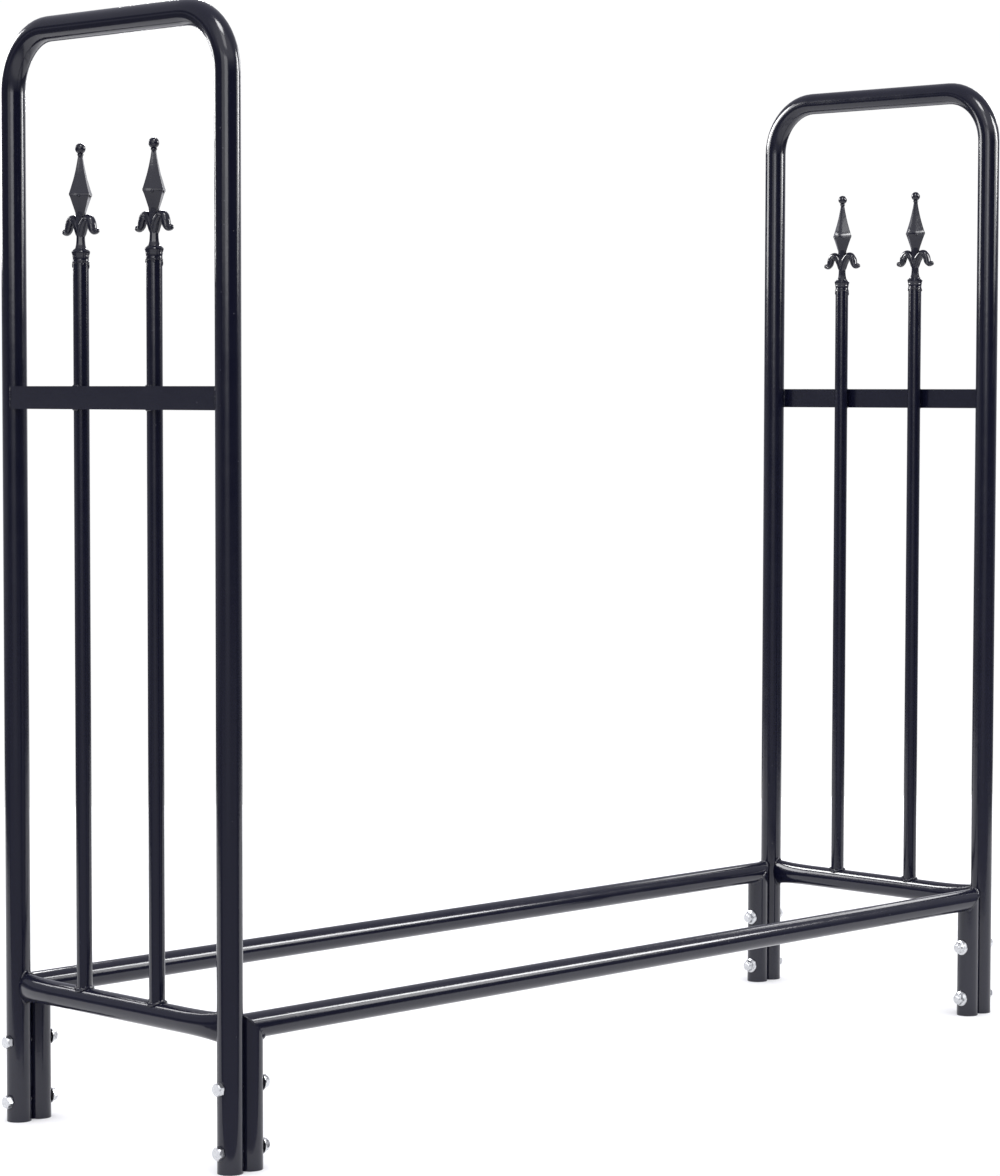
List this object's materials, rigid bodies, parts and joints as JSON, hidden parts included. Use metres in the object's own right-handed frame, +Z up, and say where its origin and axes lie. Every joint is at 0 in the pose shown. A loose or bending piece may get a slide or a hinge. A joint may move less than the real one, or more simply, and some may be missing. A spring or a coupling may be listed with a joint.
{
  "type": "firewood log rack",
  "caption": "Free-standing steel rack for split logs: two arched end frames with spear-topped bars, joined by two low bolted side rails",
  "frame": {"origin": "on the floor, under the middle of the rack", "axes": "+X along the rack, +Y to its back, +Z up"},
  "size_m": [1.236, 0.3574, 1.125],
  "materials": {
    "black_powder_coat": "semi-gloss",
    "cast_black_finish": "gloss",
    "zinc_hardware": "bright zinc"
  },
  "bodies": {
    "root": {"back_rail": "black_powder_coat", "back_rail_left_leg": "black_powder_coat", "back_rail_right_leg": "black_powder_coat", "flange_nuts": "zinc_hardware", "front_rail": "black_powder_coat", "front_rail_left_leg": "black_powder_coat", "front_rail_right_leg": "black_powder_coat", "hex_bolts": "zinc_hardware", "left_end_back_bar": "black_powder_coat", "left_end_back_finial": "cast_black_finish", "left_end_cross_tube": "black_powder_coat", "left_end_flat_bar": "black_powder_coat", "left_end_front_bar": "black_powder_coat", "left_end_front_finial": "cast_black_finish", "left_end_hoop": "black_powder_coat", "right_end_back_bar": "black_powder_coat", "right_end_back_finial": "cast_black_finish", "right_end_cross_tube": "black_powder_coat", "right_end_flat_bar": "black_powder_coat", "right_end_front_bar": "black_powder_coat", "right_end_front_finial": "cast_black_finish", "right_end_hoop": "black_powder_coat"}
  },
  "joints": []
}
